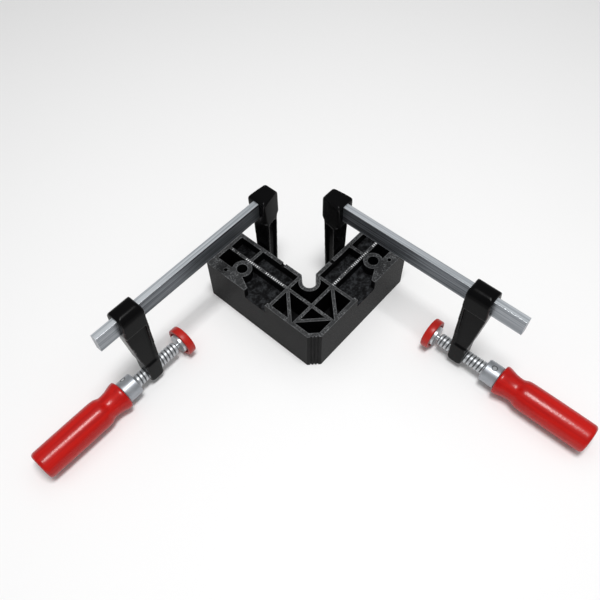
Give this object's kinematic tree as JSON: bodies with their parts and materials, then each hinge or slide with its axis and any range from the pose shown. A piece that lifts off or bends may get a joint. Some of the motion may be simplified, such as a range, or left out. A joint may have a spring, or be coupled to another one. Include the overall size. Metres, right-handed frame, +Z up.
{
  "type": "clamping square",
  "caption": "Ribbed plastic corner square with a small bar clamp on each leg, for holding two mitred pieces at a right angle.",
  "frame": {"origin": "the square's ideal outer corner, where its two outer faces would meet at the bench", "axes": "+X along one leg, +Y along the other, +Z up from the bench; the outer faces are y = 0 and x = 0"},
  "size_m": [0.2958, 0.2958, 0.097],
  "materials": {
    "square_plastic": "glass-filled plastic, worn lighter on the rib tops",
    "black_coat": "satin black powder coat",
    "zinc_bar": "bright zinc plate",
    "bright_steel": "bright zinc plate",
    "zinc_ferrule": "dull zinc",
    "red_wood": "glossy red lacquer",
    "red_plastic": "semi-gloss"
  },
  "bodies": {
    "square": {"corner_square": "square_plastic"},
    "left_clamp": {"left_bar": "zinc_bar", "left_fixed_arm": "black_coat"},
    "left_slider": {"left_sliding_arm": "black_coat"},
    "left_feed": {"left_ball_stud": "bright_steel"},
    "left_screw": {"left_spindle": "bright_steel", "left_ferrule": "zinc_ferrule", "left_ferrule_pin": "bright_steel", "left_handle": "red_wood"},
    "left_pad": {"left_pressure_plate": "bright_steel", "left_pad_cap": "red_plastic"},
    "right_clamp": {"right_bar": "zinc_bar", "right_fixed_arm": "black_coat"},
    "right_slider": {"right_sliding_arm": "black_coat"},
    "right_feed": {"right_ball_stud": "bright_steel"},
    "right_screw": {"right_spindle": "bright_steel", "right_ferrule": "zinc_ferrule", "right_ferrule_pin": "bright_steel", "right_handle": "red_wood"},
    "right_pad": {"right_pressure_plate": "bright_steel", "right_pad_cap": "red_plastic"}
  },
  "joints": [
    {"name": "left_clamp_place", "type": "slide", "parent": "square", "child": "left_clamp", "axis": [0, 1, 0], "range_m": [-0.021, 0.012]},
    {"name": "left_arm_slide", "type": "slide", "parent": "left_clamp", "child": "left_slider", "axis": [-1, 0, 0], "range_m": [-0.038, 0.015]},
    {"name": "left_screw_feed", "type": "slide", "parent": "left_slider", "child": "left_feed", "axis": [-1, 0, 0], "range_m": [-0.0085, 0.01375]},
    {"name": "left_screw_turn", "type": "hinge", "parent": "left_feed", "child": "left_screw", "pos_m": [-0.1, 0.09, 0.013], "axis": [-1, 0, 0], "range_deg": [-1021, 1651]},
    {"name": "left_pad_tilt", "type": "hinge", "parent": "left_feed", "child": "left_pad", "pos_m": [-0.0549, 0.09, 0.013], "axis": [0, 0, 1], "range_deg": [-8, 8]},
    {"name": "right_clamp_place", "type": "slide", "parent": "square", "child": "right_clamp", "axis": [1, 0, 0], "range_m": [-0.01, 0.018]},
    {"name": "right_arm_slide", "type": "slide", "parent": "right_clamp", "child": "right_slider", "axis": [0, -1, 0], "range_m": [-0.0315, 0.022]},
    {"name": "right_screw_feed", "type": "slide", "parent": "right_slider", "child": "right_feed", "axis": [0, -1, 0], "range_m": [-0.015, 0.0085]},
    {"name": "right_screw_turn", "type": "hinge", "parent": "right_feed", "child": "right_screw", "pos_m": [0.079, -0.1, 0.013], "axis": [0, -1, 0], "range_deg": [-1801, 1021]},
    {"name": "right_pad_tilt", "type": "hinge", "parent": "right_feed", "child": "right_pad", "pos_m": [0.079, -0.0549, 0.013], "axis": [0, 0, 1], "range_deg": [-8, 8]}
  ],
  "couplings": [
    {"joint": "left_screw_turn", "follows": "left_screw_feed", "rad_per_m": 2094.4},
    {"joint": "right_screw_turn", "follows": "right_screw_feed", "rad_per_m": 2094.4}
  ]
}
